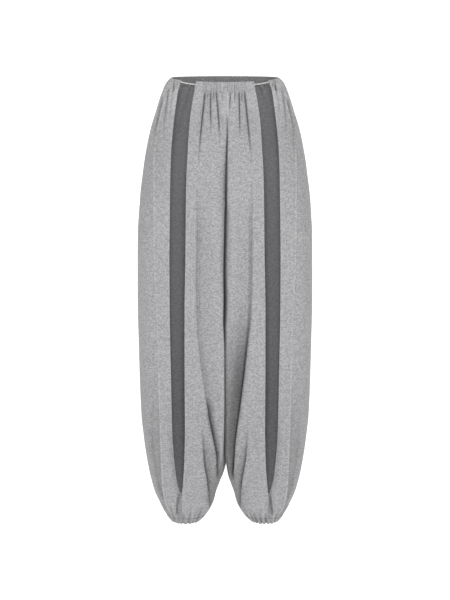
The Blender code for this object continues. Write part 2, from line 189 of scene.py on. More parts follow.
# %% Sections and seams
SECTIONS = (
    (0, 117.5, -117.5, 85, 95, 2.1, 2.1), (9, 127.0, -127.0, 88, 98, 2.1, 2.1),
    (22, 135.5, -134.5, 92, 102, 2.12, 2.12), (40, 142.7, -138.0, 97, 108, 2.15, 2.15),
    (60, 149.5, -136.0, 102, 113, 2.2, 2.2), (80, 155.5, -128.0, 106, 117, 2.27, 2.27),
    (100, 162.0, -114.0, 109, 120, 2.33, 2.33), (125, 168.5, -90.0, 112, 123, 2.4, 2.4),
    (155, 174.5, -62.0, 114, 126, 2.5, 3.0), (190, 180.5, -38.0, 115, 127, 2.6, 4.0),
    (225, 185.0, -22.0, 115, 127, 2.7, 7.0), (252, 188.5, -11.5, 115, 126, 2.75, 10.0),
    (272, 190.5, -5.0, 115, 125, 2.8, 12.0), (285, 191.5, -1.3, 114.7, 124, 2.8, 12.0),
    (292, 192.0, 0.3, 114.5, 123.5, 2.8, 12.0), (310, 193.2, 0.9, 114.0, 122.6, 2.84, 12.0),
    (340, 195.2, 1.0, 113, 121, 2.9, 12.0), (400, 195.6, 1.0, 111, 117, 3.0, 12.0),
    (500, 195.8, 0.8, 110, 112, 3.0, 16.0), (600, 193.6, 0.4, 110, 112, 3.0, 24.0),
    (700, 191.0, 0.4, 109, 111, 2.9, 24.0), (760, 188.4, 0.4, 107, 109, 2.8, 20.0),
    (800, 184.2, 0.5, 104, 106, 2.7, 14.0), (840, 179.2, 0.4, 98, 100, 2.6, 8.0), (870, 174.2, 1.2, 92, 94, 2.5, 3.6),
    (890, 170.5, 4.5, 87, 90, 2.4, 2.8), (912, 165.2, 12.0, 80, 84, 2.35, 2.35), (934, 158.8, 20.0, 72, 77, 2.3, 2.3),
    (957, 148.3, 26.0, 62, 67, 2.25, 2.25), (972, 141.5, 33.0, 56, 61, 2.2, 2.2),
    (985, 133.5, 42.0, 50, 55, 2.2, 2.2), (1001, 122.0, 57.0, 43, 47, 2.2, 2.2),
)
SEAMS = (
    (0, 62.5, 95.5, 110.0), (16, 64.1, 98.6, 118.0), (33, 66.5, 103.2, 124.5), (61, 71.6, 107.2, 133.0),
    (100, 77.0, 112.2, 143.5), (162, 81.1, 117.4, 154.5), (227, 84.5, 119.5, 155.6), (315, 86.0, 120.6, 155.7),
    (402, 87.0, 121.7, 154.8), (516, 89.0, 121.3, 150.0), (645, 89.2, 119.2, 146.6), (778, 88.7, 116.6, 143.0),
    (825, 89.6, 114.4, 141.6), (872, 91.6, 110.2, 140.2), (895, 93.2, 107.6, 139.6), (919, 95.4, 101.6, 138.4),
    (933, 96.8, 96.8, 137.2), (957, 97.2, 97.2, 132.6), (985, 97.0, 97.0, 120.0), (1001, 94.0, 94.0, 110.0),
)
CENTRE_LINE = (
    (22, 3.5, 0), (60, 4.5, 0), (120, 5.0, 0), (200, 3.4, 0), (250, 2.9, 0), (270, 2.5, 1), (292, 2.6, 3.5),
    (315, 2.9, 5.4), (340, 2.9, 6), (400, 2.0, 6), (440, 1.4, 6), (486, 1.1, 6), (545, -0.9, 6), (600, 0.6, 6),
    (684, 0.9, 6), (760, 1.7, 6), (800, 2.4, 5.2), (835, 2.6, 4.2), (862, 1.8, 3.0), (880, 0.8, 1.8), (905, 0.0, 0),
)


def table(rows, names):
    """The columns of a table as arrays, by name."""
    return {name: np.array([row[i] for row in rows], float) for i, name in enumerate(names.split())}


SECTION = table(SECTIONS, "down side_x fork_x front_y back_y square inner")
SEAM = table(SEAMS, "down slit_front slit_side side_seam")
CENTRE = table(CENTRE_LINE, "down over bow")
print(len(SECTIONS), "sections,", len(SEAMS), "seam levels")

# %% Reading the tables
WAIST_TOP = 2.0
WAIST_BAND = 20.5
ANKLE_TOP = 985.3
ANKLE_BOTTOM = 1000.5
FRONT_DROP = 11.5
BACK_RISE = 5.5
DROP_FADES_BY = 165.0
PANEL_TOP = WAIST_TOP + WAIST_BAND - 0.3
CROTCH = 290.0
SEAM_GAP = 0.3 * MM
CENTRE_REACH = 34.0       # the cloth this near the centre plane, in mm, goes with it
OVER_FADES = 60           # mm from front to back
BOW_WAVE = 70
TURN_AT = 0.15            # a leg turns inwards this share of its width from its inner side
SECTION_POINTS = 2881
RIGHT, LEFT = -1, 1
SIDES = ((RIGHT, "right"), (LEFT, "left"))


def ease(t):
    """0 below 0, 1 above 1, and an even S between."""
    t = np.clip(t, 0.0, 1.0)
    return t * t * (3 - 2 * t)


def during(down, begins, full, still, ends):
    """How strong something is at a level: it begins, is full, is still full and ends at the levels given."""
    return ease((down - begins) / (full - begins)) * ease((ends - down) / (ends - still))


def through(columns, name, down):
    """A smooth line through one column of a table, without overshoot."""
    knots, values = columns["down"], columns[name]
    width = np.diff(knots)
    slope = np.diff(values) / width
    product, total = slope[:-1] * slope[1:], slope[:-1] + slope[1:]
    middle = np.where(product > 0, 2 * product / np.where(product > 0, total, 1), 0)
    ends = np.concatenate([slope[:1], middle, slope[-1:]])
    i = np.clip(np.searchsorted(knots, down) - 1, 0, len(width) - 1)
    t = np.clip((down - knots[i]) / width[i], 0, 1)
    rest = 1 - t
    value = (1 + 2 * t) * rest**2 * values[i] + t**2 * (3 - 2 * t) * values[i + 1]
    return value + width[i] * (t * rest**2 * ends[i] - t**2 * rest * ends[i + 1])


def bell(t):
    """1 at 0, falling away to both sides."""
    return np.exp(-0.5 * t**2)


def travelled(points):
    """The length along a line of points, at each of them."""
    return np.concatenate([[0], np.cumsum(np.linalg.norm(np.diff(points, axis=0), axis=1))])


def read_off(values, length, where):
    """Rows of values that are known at each length, read off at other lengths."""
    return np.column_stack([np.interp(where, length, column) for column in values.T])


def slope_left(down):
    """How much of the waist edge's slope is left at this level."""
    return 1 - ease((down - WAIST_TOP - WAIST_BAND) / (DROP_FADES_BY - WAIST_TOP - WAIST_BAND))


def waist_slope(y, down):
    """The rise or drop of the waist edge towards back and front, in metres."""
    deep = np.where(y > 0, through(SECTION, "back_y", down), through(SECTION, "front_y", down)) * MM
    full = np.where(y > 0, BACK_RISE, FRONT_DROP) * MM
    return full * np.clip(y / deep, -1, 1) * slope_left(down)


@functools.cache
def half_section(down):
    """Points (x, y) from the centre front or inseam round the side to the centre back, and their length."""
    outline, fork = through(SECTION, "side_x", down), through(SECTION, "fork_x", down)
    angle = np.linspace(-np.pi, np.pi, SECTION_POINTS)
    corner = (angle < 0) & (np.cos(angle) < 0)
    power = 2 / np.where(corner, through(SECTION, "inner", down), through(SECTION, "square", down))
    x = (outline + fork) / 2 + (outline - fork) / 2 * np.sign(np.cos(angle)) * np.abs(np.cos(angle)) ** power
    deep = np.where(angle < 0, through(SECTION, "front_y", down), through(SECTION, "back_y", down))
    y = deep * np.sign(np.sin(angle)) * np.abs(np.sin(angle)) ** power
    if fork < 0:
        keep = x > 0
        x, y = x[keep], y[keep]
        x[[0, -1]] = 0
    points = np.column_stack([x, y]) * MM
    return points, travelled(points)


def length_at(points, length, x):
    """The length along a half section at which its front passes x mm."""
    front = points[:, 1] <= 0
    return np.interp(x * MM, points[front, 0], length[front])


def panel_ends(panel, down, points, length):
    """Where a panel begins and ends along its half section."""
    level = down + FRONT_DROP * slope_left(down)
    stops = {name: length_at(points, length, through(SEAM, name, level)) for name in list(SEAM)[1:]}
    half = SEAM_GAP / 2
    closed = half if through(SECTION, "fork_x", down) > 0 else 0.0
    return {
        "front": (closed, stops["slit_front"] - half),
        "side": (stops["slit_side"] + half, stops["side_seam"] - half),
        "back": (stops["side_seam"] + half, length[-1] - closed),
    }[panel]


def places(points, length, where):
    """Points and outward directions at the given lengths along a half section."""
    at = read_off(points, length, where)
    ahead, behind = np.clip(where + 0.5 * MM, 0, length[-1]), np.clip(where - 0.5 * MM, 0, length[-1])
    along = read_off(points, length, ahead) - read_off(points, length, behind)
    along /= np.linalg.norm(along, axis=1)[:, None]
    return at, np.column_stack([along[:, 1], -along[:, 0]])


def wander(x, y, down):
    """How far the cloth beside the centre plane moves to the +X side, in metres. Both legs move together."""
    over = through(CENTRE, "over", down) * ease(0.5 - y / (OVER_FADES * MM))
    bow = through(CENTRE, "bow", down) * np.cos(np.pi * y / (BOW_WAVE * MM))
    return (over + bow) * ease((CENTRE_REACH - x / MM) / CENTRE_REACH) * MM


print("hip section", round(half_section(190)[1][-1] * 2 * 1000), "mm round")

# %% [markdown]
# ## Folds and gathers
# Jersey that is gathered on elastic falls in troughs that start in the casing and die out at different lengths. Lower
# down, the balloon's extra length drops inwards and the cloth laps over itself. Each row is one fold, placed side by
# side with the photo: the line that it follows, its trough, how far the cloth on its inner side lies back and where
# that cloth has come forward again, how far the outer layer hangs over it, how it begins and ends, and how much
# painted shade darkens the bottom of the fold and the cloth that lies behind it.

# %% The folds of the front and side panels
FOLD_COLUMNS = "line deep wide back recover tuck grows fades dark shade reach".split()
RIGHT_FOLDS = (
    (((43, 19), (50, 91), (56, 162), (58, 215)), 7.5, 1.05, 0, 14, 0.4, 13, 150, 0.3, 0.05, 14),
    (((38, 20), (38, 62)), 3.5, 0.8, 0, 8, 0, 10, 38, 0.26, 0, 8),
    (((31.7, 19), (31.6, 71), (30.5, 140)), 6.0, 0.95, 0, 10, 0.3, 12, 90, 0.28, 0.03, 10),
    (((25.8, 20), (25.3, 62)), 3.5, 0.8, 0, 8, 0, 10, 38, 0.2, 0, 8),
    (((20.7, 19), (16.3, 91), (13.1, 175)), 6.0, 0.95, 0, 8, 0.3, 12, 115, 0.26, 0.03, 8),
    (((9.5, 21), (8.5, 54)), 3.0, 0.9, 0, 8, 0, 10, 30, 0.15, 0, 8),
    (((58, 190), (61, 446), (59, 554), (52, 627), (40, 702), (28.5, 776)), 4.0, 2.6, 8, 44, 0, 180, 110,
     0.1, 0.1, 44),
    (((45, 690), (42.5, 702), (37.3, 750), (28.6, 794), (20.5, 838), (17.5, 880), (16, 915)), 11.0, 2.1, 10,
     16, 3.4, 50, 36, 0.85, 0, 16),
    (((54, 745), (48.7, 809), (46.7, 858), (40.2, 899), (36.6, 937), (33.8, 975)), 8.0, 2.2, 9, 26, 3.0, 150,
     12, 0.6, 0.3, 42),
    (((110.5, 0), (111.5, 10), (114, 22), (116, 38)), 8.0, 1.3, 0, 8, 0, 3, 16, 0.52, 0, 8),
    (((107.0, 4), (103.5, 17)), 5.0, 1.1, 0, 8, 0, 3, 6, 0.36, 0, 8),
    (((123, 14), (125, 24), (130, 68), (134, 105), (136, 145)), 8.0, 1.7, 0, 8, 0, 12, 90, 0.46, 0.05, 8),
    (((117, 24), (119, 60), (121, 100)), 4.0, 1.5, 0, 8, 0, 20, 50, 0.16, 0, 8),
    (((139.5, 38), (141, 52), (147, 84), (152, 112), (154, 170)), 8.0, 2.2, 0, 8, 0, 14, 80, 0.52, 0.06, 8),
    (((98.5, 905), (107, 956), (109, 984)), 6.0, 1.6, 0, 8, 0, 40, 12, 0.32, 0.08, 8),
)
LEFT_FOLDS = (
    (((42, 19), (49, 91), (55.5, 162), (57.8, 215)), 7.5, 1.05, 0, 14, 0.4, 13, 150, 0.32, 0.06, 14),
    (((36.5, 20), (37.5, 64)), 3.5, 0.8, 0, 8, 0, 10, 40, 0.26, 0, 8),
    (((30.6, 19), (31.6, 79), (32.7, 150)), 6.0, 0.95, 0, 10, 0.3, 12, 95, 0.28, 0.03, 10),
    (((20.7, 20), (19.5, 60)), 4.0, 0.85, 0, 8, 0, 10, 36, 0.26, 0, 8),
    (((9.5, 21), (7, 50), (5.5, 86)), 3.5, 0.85, 0, 8, 0, 10, 48, 0.24, 0, 8),
    (((57.8, 190), (57, 445), (55.3, 537), (49.8, 591), (42.6, 665), (33.6, 738)), 5.0, 2.4, 9, 44, 0, 200, 90,
     0.16, 0.04, 44),
    (((57, 445), (55, 540), (49.8, 591), (42.6, 665), (33.6, 738), (25, 798), (23.6, 816), (22.5, 838),
            (19.5, 880), (18, 915)), 12, 2.3, 15, 26, 3.6, 280, 36, 1.0, 0.52, 110),
    (((52, 745), (48.7, 809), (46.6, 849), (40.1, 887), (35.8, 925), (33.5, 975)), 8.0, 2.2, 9, 26, 3.0, 150,
     12, 0.6, 0.26, 36),
    (((109, 0), (111, 12), (113, 26), (115, 40)), 8.0, 1.3, 0, 8, 0, 3, 16, 0.52, 0, 8),
    (((107.0, 4), (103.5, 17)), 5.0, 1.1, 0, 8, 0, 3, 6, 0.36, 0, 8),
    (((124.5, 14), (126, 25), (130.8, 56), (134, 96), (136, 150)), 8.0, 1.7, 0, 8, 0, 12, 95, 0.42, 0.05, 8),
    (((117, 26), (119, 66), (120, 108)), 4.0, 1.5, 0, 8, 0, 20, 50, 0.14, 0, 8),
    (((138, 40), (139.6, 52), (145.5, 86), (150, 118), (153, 180)), 8.0, 2.2, 0, 8, 0, 14, 80, 0.52, 0.06, 8),
    (((98.5, 905), (103, 956), (108, 984)), 6.0, 1.6, 0, 8, 0, 40, 12, 0.32, 0.08, 8),
)
FOLDS = {RIGHT: RIGHT_FOLDS, LEFT: LEFT_FOLDS}
CENTRE_FADES = (76, 220, 262, 298)
CENTRE_DEEP = 13.0
CENTRE_WIDE = {RIGHT: 2.0, LEFT: 1.3}
CENTRE_ROUND = {RIGHT: (7.0, 6.5), LEFT: (0.0, 3.0)}
CENTRE_ROUND_FADES = (120, 270, 400, 490)
# painted shade beside the gap between the legs: strength and width on each leg
CENTRE_PAINTED_SHADE = {RIGHT: (0.36, 5.5), LEFT: (0.10, 1.6)}
# painted shade in the gap between the legs, by level: its strength, and its width on each leg
CENTRE_GAP_PAINTED_SHADE = (
    (76, 0.0, 1.6, 1.4), (94, 0.48, 1.6, 1.4), (135, 0.58, 1.6, 1.4), (200, 0.68, 2.0, 1.4), (250, 0.86, 2.6, 1.5),
    (285, 0.98, 3.0, 1.7), (440, 0.98, 3.0, 2.0), (490, 0.98, 2.4, 3.0), (535, 0.98, 1.7, 3.0), (560, 0.8, 1.4, 2.4),
    (640, 0.0, 1.4, 2.0),
)
WAIST_LIPS = 0.40         # the cloth beside a gather stands forward by this share of its depth
CENTRE_GAP_SHADE_TABLE = table(CENTRE_GAP_PAINTED_SHADE, "down dark right left")
WAIST_FOLD_STARTS = 30    # folds that start above this level, in mm, come out of the waist casing
GATHER_OPENS = 14.0       # a gather starts as a point at the casing, and is fully open this far below


def folds_at(rows, columns, down):
    """The folds that reach a level: each one's row, its first level, its place here and its strength."""
    for row in rows:
        fold = dict(zip(columns, row))
        stops, levels = zip(*fold["line"])
        if levels[0] < down < levels[-1]:
            strength = ease((down - levels[0]) / fold["grows"]) * ease((levels[-1] - down) / fold["fades"])
            yield fold, levels[0], np.interp(down, levels, stops), strength


def fold_push(leg, x, down):
    """What the folds do to the front cloth at x mm from the centre plane: aside and back, in mm, and painted shade."""
    aside, back, dark = np.zeros((3, len(x)))
    for fold, begins, centre, strength in folds_at(FOLDS[leg], FOLD_COLUMNS, down):
        gather = begins < WAIST_FOLD_STARTS
        opened = ease((down - begins) / GATHER_OPENS) if gather else 1.0
        away = (x - centre) / (fold["wide"] * (0.45 + 0.55 * opened))
        core = bell(away)
        trough = 0.92 * core + 0.08 * bell(away / 3)
        step = ease(0.5 - away / 2.6)
        inner = step * (1 - ease((centre - x - 4) / fold["recover"]))
        behind = step * (1 - ease((centre - x - 4) / fold["reach"]))
        back += strength * (fold["deep"] * trough + fold["back"] * inner)
        if gather:
            back -= strength * WAIST_LIPS * fold["deep"] * np.exp(-(((np.abs(away) - 2.6) / 1.1) ** 2))
        lip, base = np.exp(-(((away - 1.2) / 1.0) ** 2)), np.exp(-(((away + 1.2) / 1.0) ** 2))
        aside -= strength * fold["tuck"] * (lip - base)
        if fold["tuck"] > 1:
            core = bell(away * np.where(away < 0, 0.4, 1.3))
        # painted shade in the fold's core and on the cloth that lies behind it
        dark = np.maximum(dark, opened * strength * np.maximum(fold["dark"] * core, fold["shade"] * behind))
    back += during(down, *CENTRE_FADES) * CENTRE_DEEP * np.exp(-x / CENTRE_WIDE[leg])
    strength = during(down, *CENTRE_ROUND_FADES)
    round_deep, round_wide = CENTRE_ROUND[leg]
    back += strength * round_deep * bell(x / round_wide)
    # painted shade beside and in the gap between the legs
    soft_dark, soft_wide = CENTRE_PAINTED_SHADE[leg]
    core = {name: np.interp(down, CENTRE_GAP_SHADE_TABLE["down"], column) for name, column in CENTRE_GAP_SHADE_TABLE.items()}
    core_wide = core["right" if leg == RIGHT else "left"]
    dark = np.maximum(dark, strength * soft_dark * bell(x / soft_wide))
    dark = np.maximum(dark, core["dark"] * bell(x / core_wide))
    return aside, back, dark


print(len(RIGHT_FOLDS + LEFT_FOLDS), "folds placed on the front")

# %% The folds of the back
# the dark column is painted shade in the trough
BACK_FOLD_COLUMNS = "line deep wide grows fades dark".split()
RIGHT_BACK_FOLDS = (
    (((0.27, 240), (0.3, 420), (0.31, 640)), 5.0, 0.02, 120, 160, 0.12),
    (((0.52, 215), (0.545, 420), (0.55, 600), (0.57, 760)), 6.0, 0.02, 160, 200, 0.16),
    (((0.93, 262), (0.82, 300), (0.72, 338)), 4.5, 0.018, 30, 44, 0.18),
    (((0.73, 390), (0.715, 560), (0.72, 700)), 5.0, 0.018, 130, 130, 0.12),
    (((0.72, 640), (0.735, 740), (0.755, 860), (0.77, 945)), 9.0, 0.012, 110, 40, 0.46),
    (((0.47, 700), (0.5, 820), (0.56, 965)), 8.0, 0.012, 120, 20, 0.36),
    (((0.3, 760), (0.33, 860), (0.38, 965)), 7.0, 0.014, 90, 30, 0.3),
    (((0.1, 700), (0.13, 830), (0.16, 960)), 5.0, 0.014, 110, 40, 0.2),
)
LEFT_BACK_FOLDS = (
    (((0.26, 280), (0.29, 460), (0.3, 690)), 5.0, 0.02, 140, 170, 0.12),
    (((0.5, 205), (0.535, 380), (0.555, 560), (0.56, 700)), 6.5, 0.02, 150, 190, 0.16),
    (((0.93, 258), (0.83, 294), (0.735, 325)), 4.5, 0.018, 30, 40, 0.16),
    (((0.735, 430), (0.72, 590), (0.715, 740)), 5.0, 0.018, 130, 140, 0.12),
    (((0.715, 680), (0.73, 760), (0.75, 850), (0.765, 940)), 9.0, 0.012, 90, 36, 0.42),
    (((0.49, 730), (0.51, 830), (0.555, 965)), 8.0, 0.012, 100, 20, 0.38),
    (((0.31, 720), (0.335, 840), (0.37, 965)), 7.0, 0.014, 110, 30, 0.3),
    (((0.11, 740), (0.135, 850), (0.17, 960)), 5.0, 0.014, 90, 40, 0.2),
)
BACK_FOLDS = {RIGHT: RIGHT_BACK_FOLDS, LEFT: LEFT_BACK_FOLDS}
BACK_SEAM_DEEP = 1.4
CENTRE_SEAM_WIDE = 1.1
# painted shade in the centre back seam's groove
BACK_SEAM_PAINTED_SHADE = 0.22


def back_folds(leg, share, down):
    """The troughs of a back panel, in mm, by share of the cloth from slit to centre back, and their painted shade."""
    total, dark = np.zeros((2, len(share)))
    for fold, _, centre, strength in folds_at(BACK_FOLDS[leg], BACK_FOLD_COLUMNS, down):
        core = bell((share - centre) / fold["wide"])
        total += strength * fold["deep"] * core
        dark = np.maximum(dark, strength * fold["dark"] * core)
    return total, dark


print(len(RIGHT_BACK_FOLDS + LEFT_BACK_FOLDS), "folds placed on the back")

# %% [markdown]
# ### What the elastic gathers
# The casings are stitched while the elastic is stretched, so when it is let go they pucker into short upright
# ripples, a few mm apart. The ripples run on into the cloth below, and every few of them become a longer gather.
# The front casing's ripples are placed from the photo, and the others follow the same spacing, unevenly.

# %% Ripples and gathers
FRONT_RIPPLES = (-48, -41.5, -36, -30.6, -25, -19.7, -13, -5.5, 2.2, 7.6, 13.1, 19.7, 25.1, 30.6, 35, 39.4, 44.8)
RIPPLE_DEEP = 2.6
RIPPLE_WIDE = 1.05
BACK_RIPPLES = 36
BACK_GATHERS = 11
SEEN_THROUGH_SLIT = 0.62  # the share of the back that lies flatter, behind the slit
BACK_GATHER_DEEP = 8.0
BACK_GATHER_LONG = 125.0
# painted shade in the ripples, the gathers and the hem's puckers
RIPPLE_PAINTED_SHADE = 0.20
GATHER_PAINTED_SHADE = 0.36
PUCKER_PAINTED_SHADE = 0.50
SEAM_HOLDS = 6.0          # the centre seams keep the cloth within this many mm of them from moving aside
PAINTED_TOP_LIGHT = 0.16           # painted light: the cloth just below the front waist is this much paler
PAINTED_SIDE_LIGHT = 0.18          # painted light: the cloth round the waist's sides is this much paler
PAINTED_LOW_SHADE = 0.08           # painted shade: the cloth above the ankles is this much darker
PAINTED_TOP_LIGHT_FADES = (30, 110)
PAINTED_SIDE_LIGHT_FADES = (50, 200)
PAINTED_SIDE_LIGHT_FROM = (88, 104)
PAINTED_LOW_SHADE_GROWS = (560, 860)
PAINTED_TOP_LIGHT_TO_BACK = 80         # mm from front to back over which the painted light at the top ends
PAINTED_SIDE_LIGHT_TO_BACK = 60
GATHERS_END = 200
HEM_STARTS = 900
HEM_DROP_GROWS = (960, 1000)
HEM_PUCKERS = 25
HEM_PUCKER_DEEP = 6.5
HEM_PUCKER_LONG = 34.0
HEM_DROP = 3.0            # the front of the hem hangs lower than its sides, in mm
HEM_SCALLOP = 3.4
TOP_SCALLOP = 0.45        # the waist edge dips by this share of a ripple's depth


def between(value, start, end):
    """0 up to start, 1 from end on, and an even S between."""
    return ease((value - start) / (end - start))


def uneven(number, seed):
    """An even spread of values from 0 to 1, the same each time."""
    return np.mod(np.sin(number * 12.9898 + seed * 78.233) * 43758.5453, 1.0)


def row_of_troughs(place, seed, wide):
    """One trough in each unit of place, a little off its middle: its shape from 0 to 1, and its number."""
    number = np.floor(place)
    centre = number + 0.35 + 0.3 * uneven(number, seed)
    return bell((place - centre) / wide), number


def waist_ripples(leg, x, share, down):
    """The ripples of the waist casing and of the cloth just below it, in mm."""
    upright = (0.55 + 0.45 * ease((down - WAIST_TOP - 1) / 9)) * (1 - ease((down - WAIST_TOP - WAIST_BAND) / 9))
    front = np.zeros_like(x)
    for k, middle in enumerate(FRONT_RIPPLES):
        front += (0.6 + 0.4 * uneven(k, 3)) * bell((leg * x - middle) / RIPPLE_WIDE)
    shape, number = row_of_troughs(share * BACK_RIPPLES, leg + 2, 0.19)
    behind = shape * (0.45 + 0.55 * uneven(number, leg + 9)) * ease(share / 0.03)
    behind = behind * (1 - 0.8 * ease((down - WAIST_TOP - WAIST_BAND) / 4))
    return RIPPLE_DEEP * upright * np.where(share > 0, behind, front)


def waist_gathers(leg, share, down):
    """The longer gathers below the back casing, in mm."""
    away = down - WAIST_TOP - WAIST_BAND
    shape, number = row_of_troughs(np.clip(share, 0, 0.9999) * BACK_GATHERS, leg + 5, 0.13)
    reach = BACK_GATHER_LONG * (0.4 + 0.9 * uneven(number, leg + 6))
    height = BACK_GATHER_DEEP * (0.55 + 0.45 * uneven(number, leg + 7))
    flat = 1 - 0.85 * bell((share - SEEN_THROUGH_SLIT) / 0.07)
    return shape * height * ease((away + 4) / 8) * (1 - ease(away / reach)) * ease((share - 0.12) / 0.05) * flat


def hem_puckers(leg, around, down):
    """How strongly the hem is puckered, 0 to 1, by share of the way round the ankle."""
    away = ANKLE_BOTTOM - down
    shape, number = row_of_troughs(around * HEM_PUCKERS, leg + 11, 0.16)
    reach = HEM_PUCKER_LONG * (0.55 + 1.0 * uneven(number, leg + 12))
    height = 0.3 + 0.7 * uneven(number, leg + 13)
    fine, other = row_of_troughs(around * 2.3 * HEM_PUCKERS, leg + 15, 0.22)
    near = fine * (0.3 * uneven(other, leg + 16)) * (1 - ease(away / 22))
    return shape * height * (1 - ease((away - 6) / reach)) + near


print(len(FRONT_RIPPLES) + 2 * (BACK_RIPPLES + BACK_GATHERS + HEM_PUCKERS), "ripples, gathers and puckers")

# %% [markdown]
# ### Where the cloth lies
# One function gives the outer face of the cloth at any length along any level, with all of its folds. The panels, the
# casings and the lines of stitching all ask it, so they meet each other whatever the folds do.

# %% The outer face of the cloth
def slit_length(down, points, length):
    """The length along a half section at the slit's outer edge."""
    return length_at(points, length, through(SEAM, "slit_side", down + FRONT_DROP * slope_left(down)))


def on_cloth(leg, down, where, proud=0.0):
    """Points on the outer face, outward directions and painted shade and light, at lengths along a level. proud is in
    mm.
    """
    points, length = half_section(down)
    at, out = places(points, length, where)
    x = at[:, 0] / MM
    slit = slit_length(down, points, length)
    share = (where - slit) / (length[-1] - slit)
    around = where / length[-1]
    inward, dip, dark, pucker, flat = np.zeros((5, len(x)))
    if down < GATHERS_END:
        ripples = waist_ripples(leg, x, share, down)
        dip = TOP_SCALLOP * ripples * (1 - ease((down - WAIST_TOP) / 8))
        gathers = waist_gathers(leg, share, down)
        inward += ripples + gathers
        # painted shade in the ripples and gathers
        dark = RIPPLE_PAINTED_SHADE * ripples / RIPPLE_DEEP + GATHER_PAINTED_SHADE * gathers / BACK_GATHER_DEEP
    # painted light near the top of the front
    dark = dark - PAINTED_TOP_LIGHT * (1 - between(down, *PAINTED_TOP_LIGHT_FADES)) * ease(0.5 - at[:, 1] / (PAINTED_TOP_LIGHT_TO_BACK * MM))
    # painted light round the waist's sides
    painted_side_mask = (1 - between(down, *PAINTED_SIDE_LIGHT_FADES)) * between(x, *PAINTED_SIDE_LIGHT_FROM)
    dark = dark - PAINTED_SIDE_LIGHT * painted_side_mask * ease(0.8 - at[:, 1] / (PAINTED_SIDE_LIGHT_TO_BACK * MM))
    if down > HEM_STARTS:
        pucker = hem_puckers(leg, around, down)
        # painted shade in the puckers
        dark = dark + PUCKER_PAINTED_SHADE * np.clip(pucker, 0, 1)
    folds, painted_fold_shade = back_folds(leg, share, down)
    seam = np.where(at[:, 1] > 0, bell(x / CENTRE_SEAM_WIDE), 0) if PANEL_TOP < down < CROTCH else 0.0
    inward += HEM_PUCKER_DEEP * pucker + folds + BACK_SEAM_DEEP * seam
    # painted shade in the back folds and the centre back seam
    painted_fold_shade = np.maximum(painted_fold_shade, BACK_SEAM_PAINTED_SHADE * seam)
    dark = dark * (1 - painted_fold_shade) + painted_fold_shade
    push = out * ((proud - inward) * MM)[:, None]
    if down < CROTCH:
        push[:, 0] *= ease(x / SEAM_HOLDS)
    moved = at + push
    facing = np.clip(-out[:, 1], 0, 1) ** 1.5
    aside, back, painted_light_and_shade = fold_push(leg, x, down)
    # painted shade from the front folds and the gap between the legs
    painted_light_and_shade = np.where(x < 8, at[:, 1] < 0, facing**0.15) * painted_light_and_shade
    # painted shade from the folds, and painted shade darker towards the ankles
    dark = dark * (1 - painted_light_and_shade) + painted_light_and_shade + PAINTED_LOW_SHADE * between(down, *PAINTED_LOW_SHADE_GROWS)
    moved[:, 0] += facing * aside * MM + leg * wander(at[:, 0], at[:, 1], down)
    moved[:, 1] += facing * back * MM
    low = between(down, ANKLE_TOP, ANKLE_BOTTOM)
    level = -down * MM + waist_slope(at[:, 1], down) + (low * pucker * HEM_SCALLOP - dip) * MM
    level -= HEM_DROP * MM * between(down, *HEM_DROP_GROWS) * np.clip(-out[:, 1], 0, 1)
    sides = np.array([leg, 1])
    return np.column_stack([moved * sides, level]), np.column_stack([out * sides, flat]), dark


print("a point at the hip", on_cloth(LEFT, 190.0, np.array([0.1]))[0].round(4))

# %% [markdown]
# ## Making a sheet of cloth
# Each panel is made as a tailor's sheet: a fine grid of points that follows the leg, with a UV map in metres so that
# the knit runs down the cloth. Solidify then gives it the jersey's thickness towards the inside, and puts the
# reverse of the cloth, in its own material slot, on the inner face.

# %% Grid, thickness and attaching the pieces
JERSEY = 1.7 * MM
TURNED_EDGE = 17.0
TURNED_PROUD = 0.7
SEAM_RIDGE = 2.2
SEAM_RIDGE_WIDE = 3.2
PAINTED_SEAM_HIGHLIGHT = 0.16          # painted highlight: the side seam's ridge is this much paler
PAINTED_SEAM_HIGHLIGHT_WIDE = 1.3
SEAM_SHADE = 0.20         # painted shade on the cloth behind the seam's ridge, low down, this much darker
GRID = {"front": 132, "side": 34, "back": 150}
TURN_SHARE = {"front": 0.50, "back": 0.80}
CORNER_SHARE = 0.11
CORNER_DEEP = 16.0
SLIT_SHADE = 0.22         # painted shade on the side panel beside the slit, low down
SLIT_SHADE_GROWS = (690, 850)
LEVELS = np.concatenate(
    [np.linspace(PANEL_TOP, 130, 66), np.linspace(130, 870, 116)[1:], np.linspace(870, ANKLE_TOP, 60)[1:]]
)
SMOOTH_UP_TO = math.radians(65)
MARL_APART = 0.173        # in metres, so that the two legs are not cut from the same bit of cloth


def face_outwards(made):
    """Selects one object alone and recalculates its normals to look out."""
    bpy.ops.object.select_all(action="DESELECT")
    made.select_set(True)
    bpy.context.view_layer.objects.active = made
    bpy.ops.object.mode_set(mode="EDIT")
    bpy.ops.mesh.select_all(action="SELECT")
    bpy.ops.mesh.normals_make_consistent(inside=False)
    bpy.ops.object.mode_set(mode="OBJECT")


def new_object(name, grid, faces, uv, materials, dark=None):
    """A mesh object with a UV map in metres and its painted shade and light, both given for each point."""
    mesh = bpy.data.meshes.new(name)
    mesh.from_pydata(grid.reshape(-1, 3).tolist(), [], faces)
    loops = np.empty(len(mesh.loops), int)
    mesh.loops.foreach_get("vertex_index", loops)
    mesh.uv_layers.new(name="cloth").data.foreach_set("uv", uv[loops].reshape(-1))
    # painted shade and light for each point, which the material multiplies into the base colour
    shade = mesh.attributes.new("painted_light_and_shade", "FLOAT", "POINT")
    shade.data.foreach_set("value", np.zeros(len(uv)) if dark is None else dark.reshape(-1))
    for material in materials:
        mesh.materials.append(material)
    return add_object(name, mesh)


def numbered(grid):
    """The numbers of a grid's points, row by row."""
    return np.arange(grid[..., 0].size).reshape(grid.shape[:2])


